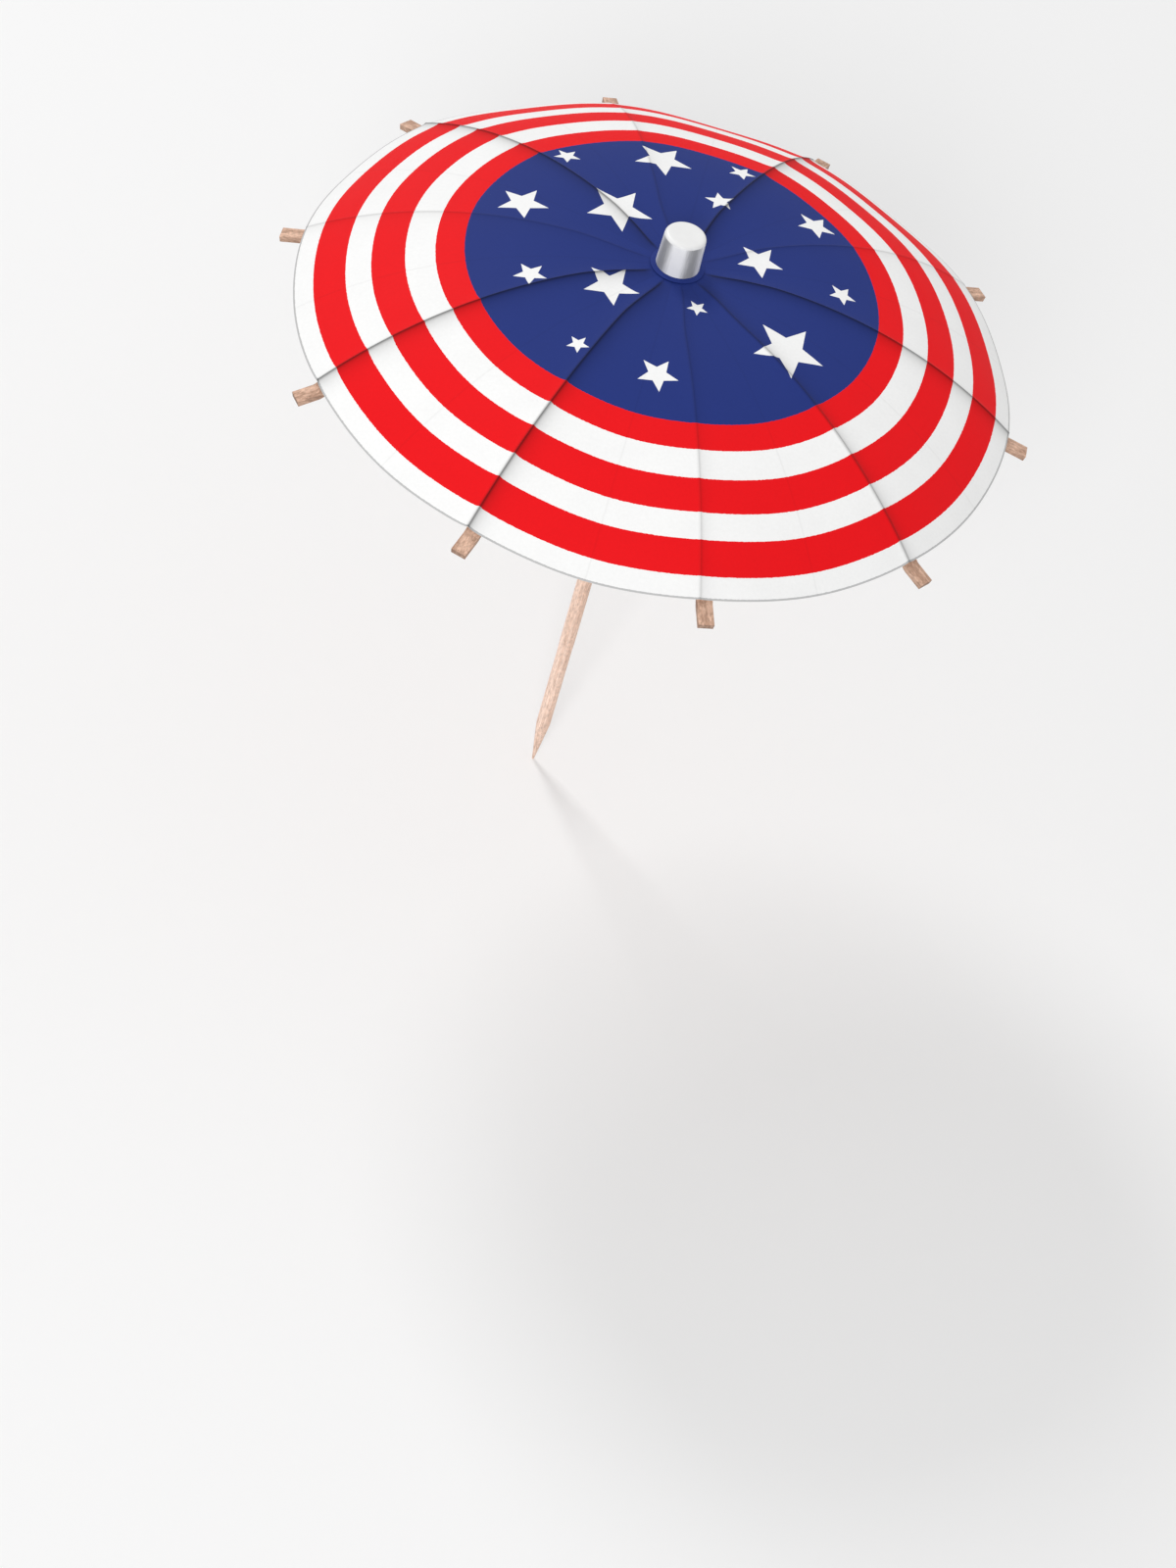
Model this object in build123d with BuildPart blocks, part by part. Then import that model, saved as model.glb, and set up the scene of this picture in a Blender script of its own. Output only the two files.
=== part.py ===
"""A cocktail umbrella pick: a paper parasol on a pointed stick that opens and folds like a full-size one.

The stick stands on +Z. The origin is on its axis, at the top of the shank that is pushed into the garnish.
Rib 1 lies along +X, and the other ribs follow anticlockwise.
"""

import os
from math import asin, atan2, cos, degrees, hypot, radians, sin, sqrt, tan

from build123d import *

os.makedirs("parts", exist_ok=True)

# Stick
shank_diameter = 2.1
shank_length = 16.0
point_length = 8.0
point_end_diameter = 0.3
stick_diameter = 2.2
stick_taper_length = 2.0
canopy_height = 73.0
stick_above_canopy = 3.8

# Paper canopy
rib_count = 10
canopy_radius = 48.3
dome_flat_radius = 12.0
dome_bend_radius = 60.0
paper_thickness = 0.25
paper_gap = 0.1
fold_gap = 0.12
canopy_eye_radius = 3.3
crown_radius = 3.6

# Cap
cap_base_diameter = 5.8
cap_top_diameter = 5.5
cap_height = 5.0
cap_edge_radius = 0.55
cap_bore_spare = 0.2

# Ribs
rib_tip_radius = 51.3
rib_width = 2.0
rib_thickness = 0.8
rib_full_width_radius = 10.0
free_end_start = 0.2
free_end_droop = 14.0
hinge_radius = 3.1
tongue_width = 0.7
tongue_length = 2.8
tongue_heel = 0.5
thread_diameter = 0.3
thread_hole_diameter = 0.44

# Stretchers and ties
tie_radius = 28.8
tie_drop = 1.4
lug_width = 1.4
lug_thickness = 0.7
stretcher_width = 2.0
stretcher_thickness = 0.8
stretcher_eye_diameter = 1.24
stretcher_heel_diameter = 1.0
stretcher_tongue_length = 4.0
stretcher_shoulder_length = 3.0
fork_depth = 2.2
tie_diameter = 0.5
tie_hole_diameter = 0.62
knot_diameter = 0.9
knot_thickness = 0.3
knot_gap = 0.05

# Hub, runner, sleeve and retaining ring
hub_diameter = 8.0
hub_height = 3.25
slot_width = 0.95
slot_floor_radius = 2.2
thread_groove_width = 0.5
thread_groove_spare = 0.05
runner_diameter = 8.0
runner_above_hinge = 1.3
runner_below_hinge = 3.7
sleeve_wall = 0.5
sleeve_stop_gap = 0.3
ring_diameter = 4.6
ring_height = 1.6
ring_edge_radius = 0.4
ring_gap = 0.1
glue_gap = 0.03
slide_gap = 0.08

# Levels and angles that follow from the sizes above
rib_pitch = 360 / rib_count
stick_radius = stick_diameter / 2
shank_radius = shank_diameter / 2
hinge_level = canopy_height - paper_thickness - paper_gap - rib_thickness / 2
bend_level = hinge_level - dome_bend_radius
rib_under = dome_bend_radius - rib_thickness / 2
rib_over = dome_bend_radius + rib_thickness / 2
paper_under = rib_over + paper_gap
paper_over = paper_under + paper_thickness
hub_top = canopy_height - paper_thickness - paper_gap / 2
hub_bottom = hub_top - hub_height
crown_bottom = canopy_height + paper_gap / 2
cap_bottom = crown_bottom + paper_thickness
stick_top = canopy_height + stick_above_canopy

# The stretcher is as long as the rib from its hinge to the tie, so its inner end always stays under the hinge
tie_run = tie_radius - dome_flat_radius
tie_level = bend_level + sqrt(dome_bend_radius**2 - tie_run**2) - tie_drop
runner_level = 2 * tie_level - hinge_level
stretcher_length = hypot(tie_radius - hinge_radius, tie_level - runner_level)
stretcher_slope = atan2(tie_level - runner_level, tie_radius - hinge_radius)
runner_top = runner_level + runner_above_hinge
runner_bottom = runner_level - runner_below_hinge
runner_height = runner_top - runner_bottom
sleeve_bottom = runner_top + sleeve_stop_gap
ring_top = runner_bottom - ring_gap


def keep(piece, name):
    """Label a finished piece and write it under its own name."""
    piece.label = name
    export_step(piece, f"parts/{name}.step")


def bent_slat(start_radius, end_radius, inner_bend, outer_bend):
    """Side outline of a strip that runs level from the stick and then droops on a round bend."""
    bend_centre = (dome_flat_radius, bend_level)
    droop = degrees(asin((end_radius - dome_flat_radius) / outer_bend))
    with BuildSketch(Plane.XZ) as outline:
        with BuildLine():
            top = Line((start_radius, bend_level + outer_bend), (dome_flat_radius, bend_level + outer_bend))
            outer = CenterArc(bend_centre, outer_bend, 90, -droop)
            inner = CenterArc(bend_centre, inner_bend, 90 - droop, droop)
            Line(outer @ 1, inner @ 0)
            bottom = Line(inner @ 1, (start_radius, bend_level + inner_bend))
            Line(bottom @ 1, top @ 0)
        make_face()
    return outline.sketch


def thread_section(level):
    """Cross-section of the thread that passes through the slats' inner ends."""
    with BuildSketch(Plane.XZ) as section:
        with Locations((hinge_radius, level)):
            Circle(thread_diameter / 2)
    return section.sketch


def collar_plan(bottom, diameter, bore_radius):
    """Plan of a round collar with one open slot for each slat."""
    slot_length = diameter / 2 - slot_floor_radius + thread_groove_width
    with BuildSketch(Plane.XY.offset(bottom)) as plan:
        Circle(diameter / 2)
        Circle(bore_radius, mode=Mode.SUBTRACT)
        with PolarLocations(slot_floor_radius + slot_length / 2, rib_count):
            Rectangle(slot_length, slot_width, mode=Mode.SUBTRACT)
    return plan.sketch


def groove_plan(start):
    """Plan of the round groove that the thread lies in."""
    with BuildSketch(Plane.XY.offset(start)) as plan:
        Circle(hinge_radius + thread_groove_width / 2)
        Circle(hinge_radius - thread_groove_width / 2, mode=Mode.SUBTRACT)
    return plan.sketch


# Stick, turned in one piece
with BuildPart() as stick:
    with BuildSketch(Plane.XZ):
        with BuildLine():
            Polyline(
                (0, -shank_length - point_length),
                (point_end_diameter / 2, -shank_length - point_length),
                (shank_radius, -shank_length),
                (shank_radius, 0),
                (stick_radius, stick_taper_length),
                (stick_radius, stick_top),
                (0, stick_top),
                close=True,
            )
        make_face()
    revolve(axis=Axis.Z)
keep(stick.part, "stick")

# Cap, bored blind for the end of the stick
with BuildPart() as cap:
    with BuildSketch(Plane.XZ):
        with BuildLine():
            Polyline(
                (0, cap_bottom),
                (cap_base_diameter / 2, cap_bottom),
                (cap_top_diameter / 2, cap_bottom + cap_height),
                (0, cap_bottom + cap_height),
                close=True,
            )
        make_face()
    revolve(axis=Axis.Z)
    fillet(cap.edges().group_by(Axis.Z)[-1], radius=cap_edge_radius)
    with BuildSketch(Plane.XY.offset(cap_bottom)):
        Circle(stick_radius + glue_gap)
    extrude(amount=stick_top + cap_bore_spare - cap_bottom, mode=Mode.SUBTRACT)
keep(cap.part, "cap")

# Centre of the paper, glued between hub and cap
with BuildPart() as canopy_crown:
    with BuildSketch(Plane.XY.offset(crown_bottom)):
        Circle(crown_radius)
        Circle(stick_radius + glue_gap, mode=Mode.SUBTRACT)
    extrude(amount=paper_thickness)
keep(canopy_crown.part, "canopy_crown")

# Hub, fixed on the stick, with the thread that the ribs hinge on
groove_floor = hinge_level - thread_diameter / 2 - thread_groove_spare
with BuildPart() as hub:
    extrude(collar_plan(hub_bottom, hub_diameter, stick_radius + glue_gap), amount=hub_height)
    extrude(groove_plan(groove_floor), amount=hub_height, mode=Mode.SUBTRACT)
keep(hub.part, "hub")

with BuildPart() as hub_thread:
    revolve(thread_section(hinge_level), axis=Axis.Z)
keep(hub_thread.part, "hub_thread")

# Rolled paper sleeve that stops the runner under the hub
with BuildPart() as spacer_sleeve:
    with BuildSketch(Plane.XY.offset(sleeve_bottom)):
        Circle(stick_radius + glue_gap + sleeve_wall)
        Circle(stick_radius + glue_gap, mode=Mode.SUBTRACT)
    extrude(amount=hub_bottom - sleeve_bottom)
keep(spacer_sleeve.part, "spacer_sleeve")

# Runner, sliding on the stick, with the thread that the stretchers hinge on
groove_roof = runner_level + thread_diameter / 2 + thread_groove_spare
with BuildPart() as runner:
    extrude(collar_plan(runner_bottom, runner_diameter, stick_radius + slide_gap), amount=runner_height)
    extrude(groove_plan(runner_bottom), amount=groove_roof - runner_bottom, mode=Mode.SUBTRACT)
keep(runner.part, "runner")

with BuildPart() as runner_thread:
    revolve(thread_section(runner_level), axis=Axis.Z)
keep(runner_thread.part, "runner_thread")

# Retaining ring under the runner
with BuildPart() as retaining_ring:
    with BuildSketch(Plane.XY.offset(ring_top - ring_height)):
        Circle(ring_diameter / 2)
        Circle(stick_radius + slide_gap, mode=Mode.SUBTRACT)
    extrude(amount=ring_height)
    fillet(retaining_ring.faces().sort_by(Axis.Z)[-1].outer_wire().edges(), radius=ring_edge_radius)
    fillet(retaining_ring.faces().sort_by(Axis.Z)[0].outer_wire().edges(), radius=ring_edge_radius)
keep(retaining_ring.part, "retaining_ring")

# The rib's free end springs back past the paper, so it droops less than the rim
bend_end = canopy_radius + free_end_start
bend_slope = asin((bend_end - dome_flat_radius) / rib_over)
free_slope = radians(free_end_droop)
free_run = rib_tip_radius - bend_end
end_level = bend_level + rib_over * cos(bend_slope)
tip_level = end_level - free_run * tan(free_slope)
free_set_in = rib_thickness * sin(free_slope)
free_depth = rib_thickness * cos(free_slope)
bend_set_in = rib_thickness * sin(bend_slope)
bend_depth = rib_thickness * cos(bend_slope)

# One rib: a bent slat with a narrow tongue at the hub, a lug for its tie and a straight free end
rib_start = hinge_radius - tongue_heel
tongue_end = hinge_radius + tongue_length
with BuildPart() as rib_shape:
    extrude(bent_slat(rib_start, bend_end, rib_under, rib_over), amount=rib_width / 2, both=True)
    with BuildSketch(Plane.XZ):
        with BuildLine():
            Polyline(
                (bend_end, end_level),
                (rib_tip_radius, tip_level),
                (rib_tip_radius - free_set_in, tip_level - free_depth),
                (bend_end - free_set_in, end_level - free_depth),
                (bend_end - bend_set_in, end_level - bend_depth),
                close=True,
            )
        make_face()
    extrude(amount=rib_width / 2, both=True)
    with BuildSketch(Plane.XY.offset(hinge_level)):
        with BuildLine():
            Polyline(
                (rib_start, -tongue_width / 2),
                (tongue_end, -tongue_width / 2),
                (rib_full_width_radius, -rib_width / 2),
                (rib_tip_radius + rib_width, -rib_width / 2),
                (rib_tip_radius + rib_width, rib_width / 2),
                (rib_full_width_radius, rib_width / 2),
                (tongue_end, tongue_width / 2),
                (rib_start, tongue_width / 2),
                close=True,
            )
        make_face()
    extrude(amount=dome_bend_radius, both=True, mode=Mode.INTERSECT)
    with BuildSketch(Plane.XZ):
        with Locations((tie_radius, tie_level)):
            Circle(lug_width / 2)
        with Locations((tie_radius, tie_level + tie_drop / 2)):
            Rectangle(lug_width, tie_drop)
    extrude(amount=lug_thickness / 2, both=True)
    with BuildSketch(Plane.XZ):
        with Locations((hinge_radius, hinge_level)):
            Circle(thread_hole_diameter / 2)
    extrude(amount=rib_width, both=True, mode=Mode.SUBTRACT)
    with BuildSketch(Plane.XZ):
        with Locations((tie_radius, tie_level)):
            Circle(tie_diameter / 2 + glue_gap)
    extrude(amount=rib_width, both=True, mode=Mode.SUBTRACT)

# One tie: a short run of thread through lug and fork, knotted outside both cheeks
tie_reach = stretcher_width / 2 + knot_gap
with BuildPart() as tie_shape:
    with BuildSketch(Plane.XZ):
        with Locations((tie_radius, tie_level)):
            Circle(tie_diameter / 2)
    extrude(amount=tie_reach, both=True)
    for side in (-1, 1):
        with BuildSketch(Plane.XZ.offset(side * tie_reach)):
            with Locations((tie_radius, tie_level)):
                Circle(knot_diameter / 2)
        extrude(amount=side * knot_thickness)

# One stretcher: a straight slat with a tongue at the runner and a fork round the rib's lug
along = (cos(stretcher_slope), 0, sin(stretcher_slope))
across = (-sin(stretcher_slope), 0, cos(stretcher_slope))
runner_hinge = (hinge_radius, 0, runner_level)
stretcher_side = Plane(origin=runner_hinge, x_dir=along, z_dir=(0, -1, 0))
stretcher_plan = Plane(origin=runner_hinge, x_dir=along, z_dir=across)
shoulder_end = stretcher_tongue_length + stretcher_shoulder_length
eye_end = stretcher_length + stretcher_eye_diameter
with BuildPart() as stretcher_shape:
    with BuildSketch(stretcher_side):
        with Locations((stretcher_length / 2, 0)):
            Rectangle(stretcher_length, stretcher_thickness)
        Circle(stretcher_heel_diameter / 2)
        with Locations((stretcher_length, 0)):
            Circle(stretcher_eye_diameter / 2)
    extrude(amount=stretcher_width / 2, both=True)
    with BuildSketch(stretcher_plan):
        with BuildLine():
            Polyline(
                (-stretcher_heel_diameter, -tongue_width / 2),
                (stretcher_tongue_length, -tongue_width / 2),
                (shoulder_end, -stretcher_width / 2),
                (eye_end, -stretcher_width / 2),
                (eye_end, stretcher_width / 2),
                (shoulder_end, stretcher_width / 2),
                (stretcher_tongue_length, tongue_width / 2),
                (-stretcher_heel_diameter, tongue_width / 2),
                close=True,
            )
        make_face()
    extrude(amount=stretcher_eye_diameter, both=True, mode=Mode.INTERSECT)
    with BuildSketch(stretcher_plan):
        with Locations((stretcher_length, 0)):
            Rectangle(2 * fork_depth, slot_width)
    extrude(amount=stretcher_eye_diameter, both=True, mode=Mode.SUBTRACT)
    with BuildSketch(stretcher_side):
        Circle(thread_hole_diameter / 2)
        with Locations((stretcher_length, 0)):
            Circle(tie_hole_diameter / 2)
    extrude(amount=stretcher_width, both=True, mode=Mode.SUBTRACT)

# One canopy panel: the paper glued to one rib, out to the folds on both sides
half_pitch = radians(rib_pitch / 2)
wedge_reach = 2 * canopy_radius
wedge_start = fold_gap / 2 / sin(half_pitch)
wedge_half_width = (wedge_reach - wedge_start) * tan(half_pitch)
with BuildPart() as panel_shape:
    revolve(bent_slat(canopy_eye_radius, canopy_radius, paper_under, paper_over), axis=Axis.Z)
    with BuildSketch(Plane.XY.offset(hinge_level)):
        with BuildLine():
            Polyline(
                (wedge_start, 0),
                (wedge_reach, -wedge_half_width),
                (wedge_reach, wedge_half_width),
                close=True,
            )
        make_face()
    extrude(amount=dome_bend_radius, both=True, mode=Mode.INTERSECT)

# The same pieces round the stick
shapes = {
    "rib": rib_shape.part,
    "tie": tie_shape.part,
    "stretcher": stretcher_shape.part,
    "canopy_panel": panel_shape.part,
}
for number in range(1, rib_count + 1):
    for name, shape in shapes.items():
        with BuildPart() as copy:
            add(shape, rotation=(0, 0, (number - 1) * rib_pitch))
        keep(copy.part, f"{name}_{number}")
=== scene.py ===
# %% [markdown]
# # A cocktail umbrella pick
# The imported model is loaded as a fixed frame: every piece already has its place, in metres, with the stick
# on the z axis. This lesson dresses that frame. Pieces whose shape is right keep it and get a finish. The
# paper, its crown, the cap and the stick are modelled again, with the detail that the plain solids lack.

# %% Load the frame
from math import asin, atan2, cos, exp, hypot, pi, radians, sin, sqrt, tan

import bpy
from mathutils import Matrix, Vector


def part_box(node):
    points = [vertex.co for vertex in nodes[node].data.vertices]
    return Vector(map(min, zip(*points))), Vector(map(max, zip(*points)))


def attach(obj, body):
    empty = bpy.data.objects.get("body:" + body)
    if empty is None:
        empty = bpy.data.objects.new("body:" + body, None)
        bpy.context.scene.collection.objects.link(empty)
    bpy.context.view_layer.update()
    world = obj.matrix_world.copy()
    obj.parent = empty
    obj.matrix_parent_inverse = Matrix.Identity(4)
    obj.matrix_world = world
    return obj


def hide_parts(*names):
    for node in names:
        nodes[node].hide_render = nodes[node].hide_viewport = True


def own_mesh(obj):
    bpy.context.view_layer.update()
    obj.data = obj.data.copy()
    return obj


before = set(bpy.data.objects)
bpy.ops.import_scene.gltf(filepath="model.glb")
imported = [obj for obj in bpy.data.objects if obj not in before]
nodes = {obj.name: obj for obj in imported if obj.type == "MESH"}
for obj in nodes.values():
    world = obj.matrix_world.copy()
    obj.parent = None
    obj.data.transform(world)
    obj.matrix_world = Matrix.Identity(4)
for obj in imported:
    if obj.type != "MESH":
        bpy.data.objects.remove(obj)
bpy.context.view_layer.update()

MM = 0.001
RIBS = 10
PITCH = 2 * pi / RIBS

# %% [markdown]
# ## A few hands
# Operators work on whatever is selected, and loading leaves everything selected. These small functions pick
# up one object at a time, apply its modifiers, and lay a finished piece on the body that carries it.

# %% Hands
def pick_up(piece):
    """Make this the only selected object, and the active one."""
    bpy.ops.object.select_all(action="DESELECT")
    piece.select_set(True)
    bpy.context.view_layer.objects.active = piece
    return piece


def added(name):
    """Name the primitive that an operator has just added."""
    piece = bpy.context.object
    piece.name = name
    piece.data.name = name
    return piece


def apply_modifiers(piece):
    pick_up(piece)
    for modifier in list(piece.modifiers):
        bpy.ops.object.modifier_apply(modifier=modifier.name)


def settle(piece):
    """Move the place of the object into its mesh, so that the object sits at the origin."""
    pick_up(piece)
    bpy.ops.object.transform_apply(location=True, rotation=True, scale=True)


def wear(piece, *finishes):
    piece.data.materials.clear()
    for finish in finishes:
        piece.data.materials.append(finish)


def join_body(piece, body, slot, *replaced):
    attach(piece, body)
    if replaced:
        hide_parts(*replaced)


# %% [markdown]
# ## Floor, light and camera
# A plain pale floor lies under the point of the pick. It is clear from below, so that the underside can be
# seen. The window lamp stands behind and to the left, high up, so that each crease in the paper is bright on
# one side and grey on the other. A lamp in front lights the near side and the cap, and the world fills the
# rest. The world is dimmer as light than it looks, so that the background stays pale.

# %% Floor
FLOOR_SIZE, FLOOR_WHITE, FLOOR_ROUGHNESS = 6, 0.92, 0.9
stage_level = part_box("stick")[0].z
bpy.ops.object.select_all(action="DESELECT")
bpy.ops.mesh.primitive_plane_add(size=FLOOR_SIZE, location=(0, 0, stage_level))
floor = added("floor")
floor_paint = bpy.data.materials.new("floor_paint")
floor_paint.use_nodes = True
floor.data.materials.append(floor_paint)
paint = floor_paint.node_tree
solid = paint.nodes["Principled BSDF"]
solid.inputs["Base Color"].default_value = (FLOOR_WHITE, FLOOR_WHITE, FLOOR_WHITE, 1)
solid.inputs["Roughness"].default_value = FLOOR_ROUGHNESS
side = paint.nodes.new("ShaderNodeNewGeometry")
clear = paint.nodes.new("ShaderNodeBsdfTransparent")
choice = paint.nodes.new("ShaderNodeMixShader")
paint.links.new(side.outputs["Backfacing"], choice.inputs[0])
paint.links.new(solid.outputs[0], choice.inputs[1])
paint.links.new(clear.outputs[0], choice.inputs[2])
paint.links.new(choice.outputs[0], paint.nodes["Material Output"].inputs[0])
print("floor at", round(stage_level / MM, 2), "mm")

# %% Lamps and world
PAPER_TOP = 73.0
hub_point = Vector((0, 0, PAPER_TOP * MM))


def lamp(name, azimuth, height, distance, size, watts):
    """A square soft lamp that looks at the hub, placed by its compass angle and height angle in degrees."""
    a, h = radians(azimuth), radians(height)
    away = Vector((cos(a) * cos(h), sin(a) * cos(h), sin(h)))
    data = bpy.data.lights.new(name, "AREA")
    data.size = size
    data.energy = watts
    made = bpy.data.objects.new(name, data)
    bpy.context.scene.collection.objects.link(made)
    made.location = hub_point + away * distance
    made.rotation_euler = away.to_track_quat("Z", "Y").to_euler()
    return made


lamp("window_lamp", azimuth=132, height=42, distance=1.0, size=0.25, watts=3.0)
lamp("front_lamp", azimuth=-94, height=30, distance=1.1, size=0.3, watts=4.2)
world = bpy.data.worlds.new("soft_room")
bpy.context.scene.world = world
world.use_nodes = True
ROOM_LIGHT, ROOM_LOOK = 0.62, 0.97
room = world.node_tree
background = room.nodes["Background"]
background.inputs["Color"].default_value = (1, 1, 1, 1)
rays = room.nodes.new("ShaderNodeLightPath")
seen = room.nodes.new("ShaderNodeMath")
seen.operation = "ADD"
room.links.new(rays.outputs["Is Camera Ray"], seen.inputs[0])
room.links.new(rays.outputs["Is Glossy Ray"], seen.inputs[1])
also_seen = room.nodes.new("ShaderNodeMath")
also_seen.operation = "ADD"
also_seen.use_clamp = True
room.links.new(seen.outputs[0], also_seen.inputs[0])
room.links.new(rays.outputs["Is Transmission Ray"], also_seen.inputs[1])
strength = room.nodes.new("ShaderNodeMapRange")
strength.inputs["To Min"].default_value = ROOM_LIGHT
strength.inputs["To Max"].default_value = ROOM_LOOK
room.links.new(also_seen.outputs[0], strength.inputs["Value"])
room.links.new(strength.outputs[0], background.inputs["Strength"])
bpy.context.scene.view_settings.view_transform = "Standard"

# %% [markdown]
# The camera looks down at the parasol at about 38 degrees, and it is rolled so that the top of the stick
# leans to the right. The hub belongs at one point of the 1200 by 1600 picture, above the middle, so the
# camera is first aimed at the hub and then turned until the hub lands there.

# %% Camera
PICTURE_WIDTH, PICTURE_HEIGHT = 1200, 1600
HUB_PIXEL = (691, 271)
SENSOR_WIDTH = 36
PIXELS_PER_METRE = 7940
camera_distance = 0.45
camera_height = radians(38.4)
camera_roll = radians(16.4)
back = Vector((0, -cos(camera_height), sin(camera_height)))
level = Vector((1, 0, 0))
upright = back.cross(level)
right = level * cos(camera_roll) + upright * sin(camera_roll)
up = upright * cos(camera_roll) - level * sin(camera_roll)
aimed = Matrix((right, up, back)).transposed()
offset = Vector((HUB_PIXEL[0] - PICTURE_WIDTH / 2, PICTURE_HEIGHT / 2 - HUB_PIXEL[1]))
focal_pixels = PIXELS_PER_METRE * camera_distance
tilt_away = atan2(offset.length, focal_pixels)
focal_pixels *= cos(tilt_away) ** 1.5
hub_ray = Vector((offset.x, offset.y, -focal_pixels)).normalized()
turned = aimed @ Vector((0, 0, -1)).rotation_difference(hub_ray).to_matrix().transposed()
camera_data = bpy.data.cameras.new("camera")
camera_data.sensor_width = SENSOR_WIDTH
camera_data.lens = focal_pixels / PICTURE_HEIGHT * SENSOR_WIDTH
camera_data.clip_start = 0.01
camera = bpy.data.objects.new("camera", camera_data)
bpy.context.scene.collection.objects.link(camera)
camera.matrix_world = Matrix.Translation(hub_point + back * camera_distance) @ turned.to_4x4()
bpy.context.scene.camera = camera
print("lens", round(camera_data.lens, 1), "mm")

# %% [markdown]
# ## Finishes
# A finish is a small tree of nodes. The helper below adds one node, fills its inputs in order, and returns
# its output, so that a tree reads like a sum. Sockets are linked and plain values are typed in.

# %% Node helpers
def grow(tree, kind, *inputs, result=0, **settings):
    made = tree.nodes.new(kind)
    for key, value in settings.items():
        setattr(made, key, value)
    for socket, value in zip(made.inputs, inputs):
        if isinstance(value, bpy.types.NodeSocket):
            tree.links.new(value, socket)
        elif value is not None:
            socket.default_value = value
    return made.outputs[result]


def sums(tree, operation, *inputs, clamp=False):
    return grow(tree, "ShaderNodeMath", *inputs, operation=operation, use_clamp=clamp)


def blend_colours(tree, share, first, second, way="MIX"):
    made = tree.nodes.new("ShaderNodeMix")
    made.data_type = "RGBA"
    made.blend_type = way
    for name, value in (("Factor_Float", share), ("A_Color", first), ("B_Color", second)):
        socket = next(s for s in made.inputs if s.identifier == name)
        if isinstance(value, bpy.types.NodeSocket):
            tree.links.new(value, socket)
        else:
            socket.default_value = value
    return next(s for s in made.outputs if s.identifier == "Result_Color")


def grey(tree, value):
    return grow(tree, "ShaderNodeCombineXYZ", value, value, value)


def shaded(tree, colour, shade):
    """A colour made darker by a shade from 0 to 1."""
    return blend_colours(tree, 1.0, colour, grey(tree, shade), "MULTIPLY")


def scaled(tree, place, factors):
    return grow(tree, "ShaderNodeVectorMath", place, factors, operation="MULTIPLY")


def noise(tree, place, fineness, detail, roughness=None):
    return grow(tree, "ShaderNodeTexNoise", place, None, fineness, detail, roughness)


def steps(tree, value, stops):
    """A colour ramp: stops are (place, colour)."""
    made = tree.nodes.new("ShaderNodeValToRGB")
    band = made.color_ramp.elements
    while len(band) < len(stops):
        band.new(1.0)
    for element, (place, colour) in zip(band, stops):
        element.position = place
        element.color = (*colour, 1)
    tree.links.new(value, made.inputs[0])
    return made.outputs[0]


def start_finish(name, roughness, gloss=0.5):
    finish = bpy.data.materials.new(name)
    finish.use_nodes = True
    shader = finish.node_tree.nodes["Principled BSDF"]
    shader.inputs["Roughness"].default_value = roughness
    shader.inputs["Specular IOR Level"].default_value = gloss
    return finish, finish.node_tree, shader


def millimetres(tree, turn=0.0, stretch=(1, 1, 1)):
    """Object coordinates in millimetres, turned about the stick so that x runs along a rib."""
    place = grow(tree, "ShaderNodeTexCoord", result=3)
    large = scaled(tree, place, (1000, 1000, 1000))
    laid = grow(tree, "ShaderNodeMapping", large, (0, 0, 0), (0, 0, -turn), (1, 1, 1))
    return scaled(tree, laid, stretch)


def relief(tree, shader, height, depth_mm, strength=1.0):
    bump = grow(tree, "ShaderNodeBump", strength, depth_mm * MM)
    tree.links.new(height, bump.node.inputs["Height"])
    tree.links.new(bump, shader.inputs["Normal"])


# %% [markdown]
# ### Printed paper
# The sheet was printed flat, before it was creased, so the print lives on a UV map that holds each point's
# place on the flat sheet. A ring starts where the distance from the centre passes a value. A five-point star
# is one straight line, mirrored: the angle round the star folds into one tenth of a turn, and a point is
# inside when it lies on the near side of the line from tip to inner corner.

# %% The flat sheet
CANOPY_RADIUS = 48.3
FLAT_RADIUS = 12.0
PAPER_BEND = 60.75
BEND_LEVEL = 12.25
SHEET_SPAN = 110.0


def flat_reach(radius):
    """Distance from the centre on the flat sheet, for a distance from the stick on the dome, in mm."""
    if radius <= FLAT_RADIUS:
        return radius
    return FLAT_RADIUS + PAPER_BEND * asin((radius - FLAT_RADIUS) / PAPER_BEND)


BLUE = (0.0132, 0.0308, 0.190)
RED = (0.835, 0.002, 0.006)
WHITE = (0.93, 0.93, 0.925)
# a grey painted shadow along the paper's cut edge
RIM_PAINTED_SHADOW = (0.52, 0.52, 0.52)
# each ring's outer edge, as a distance from the stick, and its ink; the last colour, past the outer white
# ring, is a painted shadow along the cut edge, not ink
RINGS = ((27.5, BLUE), (31.1, RED), (34.8, WHITE), (38.9, RED), (42.0, WHITE), (45.9, RED), (48.1, WHITE),
         (60.0, RIM_PAINTED_SHADOW))
# angle round the stick, distance from it, tip radius, and turn of the star
STARS = (
    (-30, 19.1, 4.97, -74), (-61, 8.2, 1.46, -82), (-86, 21.0, 2.75, -73), (-115, 21.7, 1.51, -82),
    (-134, 10.7, 3.83, -73), (-152, 20.0, 2.27, -83), (-192, 22.1, 3.51, -75), (-220, 12.3, 4.59, -73),
    (-224, 25.2, 1.89, -80), (-255, 22.7, 4.1, -75), (-281, 15.9, 2.05, 107), (-281, 25.2, 1.94, -74),
    (-312, 24.2, 2.86, -72), (-331, 11.6, 3.24, -74), (-347, 22.3, 2.0, -73),
)
print("flat sheet", round(2 * flat_reach(CANOPY_RADIUS), 1), "mm across")

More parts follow.
